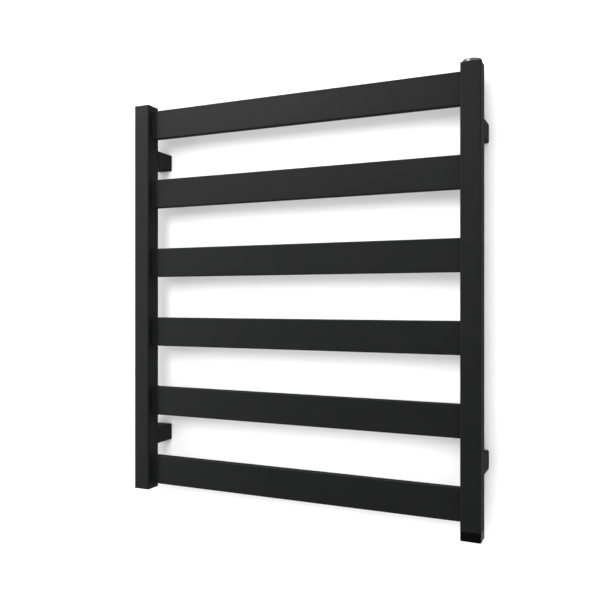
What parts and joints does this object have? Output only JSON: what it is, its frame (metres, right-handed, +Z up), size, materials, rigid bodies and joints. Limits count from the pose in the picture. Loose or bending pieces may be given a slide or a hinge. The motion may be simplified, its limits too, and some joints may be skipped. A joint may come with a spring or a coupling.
{
  "type": "towel warmer rack",
  "caption": "Wall-hung electric towel warmer: square uprights joined by flat horizontal bars, square stand-off brackets, a vent plug on top and a control head below the right upright.",
  "frame": {"origin": "middle of the four wall screw holes, on the wall plane", "axes": "+Z up along the uprights, +Y towards the wall, +X to the right as seen from the room"},
  "size_m": [0.6, 0.072, 0.6921],
  "materials": {
    "black_powder_coat": "matte black powder coat with a fine, soft texture",
    "bare_steel": "bare mild steel",
    "cast_zinc": "die-cast zinc alloy, as cast",
    "blackened_screws": "blackened steel, satin",
    "zinc_plated_steel": "bright zinc plating",
    "polished_chrome": "polished chrome plating",
    "black_rubber": "moulded rubber",
    "brass": "machined brass",
    "stainless_steel": "drawn stainless steel",
    "ceramic": "fired ceramic",
    "lead_insulation": "silicone wire insulation",
    "gloss_black_plastic": "high-gloss black moulding",
    "key_plastic": "fine matte moulding",
    "switch_plastic": "moulded switch housing",
    "board_laminate": "glass-filled laminate",
    "terminal_plastic": "moulded terminal strip",
    "clear_light_pipe": "clear moulded light pipe"
  },
  "bodies": {
    "rack": {"bar_1": "black_powder_coat", "bar_2": "black_powder_coat", "bar_3": "black_powder_coat", "bar_4": "black_powder_coat", "bar_5": "black_powder_coat", "bar_6": "black_powder_coat", "board_screws": "zinc_plated_steel", "bottom_socket": "bare_steel", "bracket_bolts": "zinc_plated_steel", "bracket_bushes": "bare_steel", "cable_gland": "black_rubber", "cartridge_head": "brass", "cartridge_seal": "black_rubber", "cartridge_sheath": "stainless_steel", "circuit_board": "board_laminate", "control_head_cover": "gloss_black_plastic", "control_head_grub_screw": "blackened_screws", "control_head_shell": "gloss_black_plastic", "cover_screws": "blackened_screws", "heater_leads": "lead_insulation", "heating_core": "ceramic", "key_spring": "zinc_plated_steel", "left_bottom_plate": "black_powder_coat", "left_top_plate": "black_powder_coat", "left_upright": "black_powder_coat", "lower_left_bracket_sleeve": "black_powder_coat", "lower_left_wall_foot": "cast_zinc", "lower_right_bracket_sleeve": "black_powder_coat", "lower_right_wall_foot": "cast_zinc", "relay": "switch_plastic", "right_upright": "black_powder_coat", "sleeve_grub_screws": "blackened_screws", "status_light": "clear_light_pipe", "status_light_lens": "clear_light_pipe", "tact_switch": "switch_plastic", "terminal_block": "terminal_plastic", "thermal_cutout": "stainless_steel", "top_socket": "black_powder_coat", "upper_left_bracket_sleeve": "black_powder_coat", "upper_left_wall_foot": "cast_zinc", "upper_right_bracket_sleeve": "black_powder_coat", "upper_right_wall_foot": "cast_zinc", "vent_plug": "polished_chrome", "vent_plug_seal": "black_rubber"},
    "bleeder": {"bleed_screw": "polished_chrome", "bleed_screw_o_ring": "black_rubber"},
    "key": {"power_key": "key_plastic", "switch_plunger": "switch_plastic"}
  },
  "joints": [
    {"name": "bleed_screw_turn", "type": "hinge", "parent": "rack", "child": "bleeder", "pos_m": [0.285, -0.057, 0.336], "axis": [0, 0, 1], "range_deg": [0, 360]},
    {"name": "power_key_press", "type": "slide", "parent": "rack", "child": "key", "axis": [0, 0, 1], "range_m": [0, 0.0008], "stiffness_N_per_m": 300, "springref_m": -0.003, "deforming": ["key_spring"]}
  ]
}
